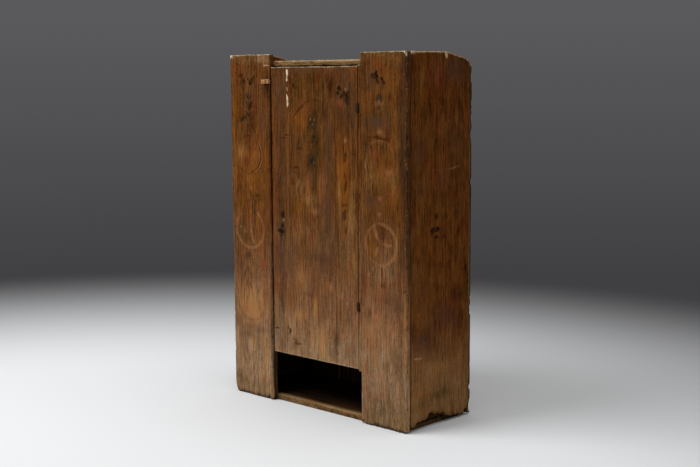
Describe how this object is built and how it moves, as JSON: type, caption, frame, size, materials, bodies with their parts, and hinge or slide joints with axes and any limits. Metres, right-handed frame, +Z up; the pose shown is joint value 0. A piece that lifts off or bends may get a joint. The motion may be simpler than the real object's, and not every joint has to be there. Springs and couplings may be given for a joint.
{
  "type": "bonnetiere cabinet",
  "caption": "Tall rustic plank cupboard with two wide front stiles, one inset ledged door on iron barrel hinges, a rim lock, a wooden turn button and an open niche below the door.",
  "frame": {"origin": "on the floor, at the centre of the carcass's footprint", "axes": "+Z up, +Y from the front to the back, +X to the right as one faces the door"},
  "size_m": [1.154, 0.4752, 1.7],
  "materials": {
    "painted_pine": "old waxed pine with worn folk painting",
    "side_pine": "dark old waxed pine",
    "inner_pine": "dry unfinished old pine",
    "raw_pine": "pale whittled pine",
    "forged_iron": "hand-forged iron, dark and slightly rusted",
    "lock_iron": "sheet iron, dark and slightly rusted"
  },
  "bodies": {
    "carcass": {"back_board_1": "inner_pine", "back_board_2": "inner_pine", "back_board_3": "inner_pine", "back_board_4": "inner_pine", "back_nails": "forged_iron", "bottom_front_board": "inner_pine", "bottom_rear_board": "inner_pine", "cleat_nails": "forged_iron", "hinge_strip": "painted_pine", "hinge_strip_pins": "forged_iron", "left_bottom_cleat": "inner_pine", "left_middle_shelf_cleat": "inner_pine", "left_niche_shelf_cleat": "inner_pine", "left_side_front_board": "side_pine", "left_side_rear_board": "side_pine", "left_stile": "painted_pine", "left_top_cleat": "inner_pine", "left_upper_shelf_cleat": "inner_pine", "lower_hinge_stile_half": "forged_iron", "middle_shelf_front_board": "inner_pine", "middle_shelf_rear_board": "inner_pine", "niche_shelf_front_board": "inner_pine", "niche_shelf_rear_board": "inner_pine", "right_bottom_cleat": "inner_pine", "right_middle_shelf_cleat": "inner_pine", "right_niche_shelf_cleat": "inner_pine", "right_side_front_board": "side_pine", "right_side_rear_board": "side_pine", "right_stile": "painted_pine", "right_top_cleat": "inner_pine", "right_upper_shelf_cleat": "inner_pine", "shelf_nails": "forged_iron", "stile_hinge_leaf_pins": "forged_iron", "stile_nails": "forged_iron", "top_front_board": "inner_pine", "top_rear_board": "inner_pine", "turn_button_nail": "forged_iron", "upper_hinge_stile_half": "forged_iron", "upper_shelf_front_board": "inner_pine", "upper_shelf_rear_board": "inner_pine"},
    "door": {"door_lock_board": "painted_pine", "door_middle_board": "painted_pine", "door_hinge_board": "painted_pine", "door_lower_ledge": "inner_pine", "door_upper_ledge": "inner_pine", "ledge_nails": "forged_iron", "upper_hinge_door_half": "forged_iron", "lower_hinge_door_half": "forged_iron", "door_hinge_leaf_pins": "forged_iron", "lock_case": "lock_iron", "lock_bolt_guide": "lock_iron", "lock_bolt_spring": "lock_iron", "lock_nails": "forged_iron"},
    "lock_bolt": {"lock_bolt": "lock_iron"},
    "turn_button": {"turn_button": "raw_pine"}
  },
  "joints": [
    {"name": "door_swing", "type": "hinge", "parent": "carcass", "child": "door", "pos_m": [0.285, -0.2295, 0.9425], "axis": [0, 0, 1], "range_deg": [0, 170]},
    {"name": "bolt_throw", "type": "slide", "parent": "door", "child": "lock_bolt", "axis": [-1, 0, 0], "range_m": [0, 0.022]},
    {"name": "button_turn", "type": "hinge", "parent": "carcass", "child": "turn_button", "pos_m": [-0.308, -0.2354, 1.569], "axis": [0, -1, 0], "continuous": true}
  ]
}
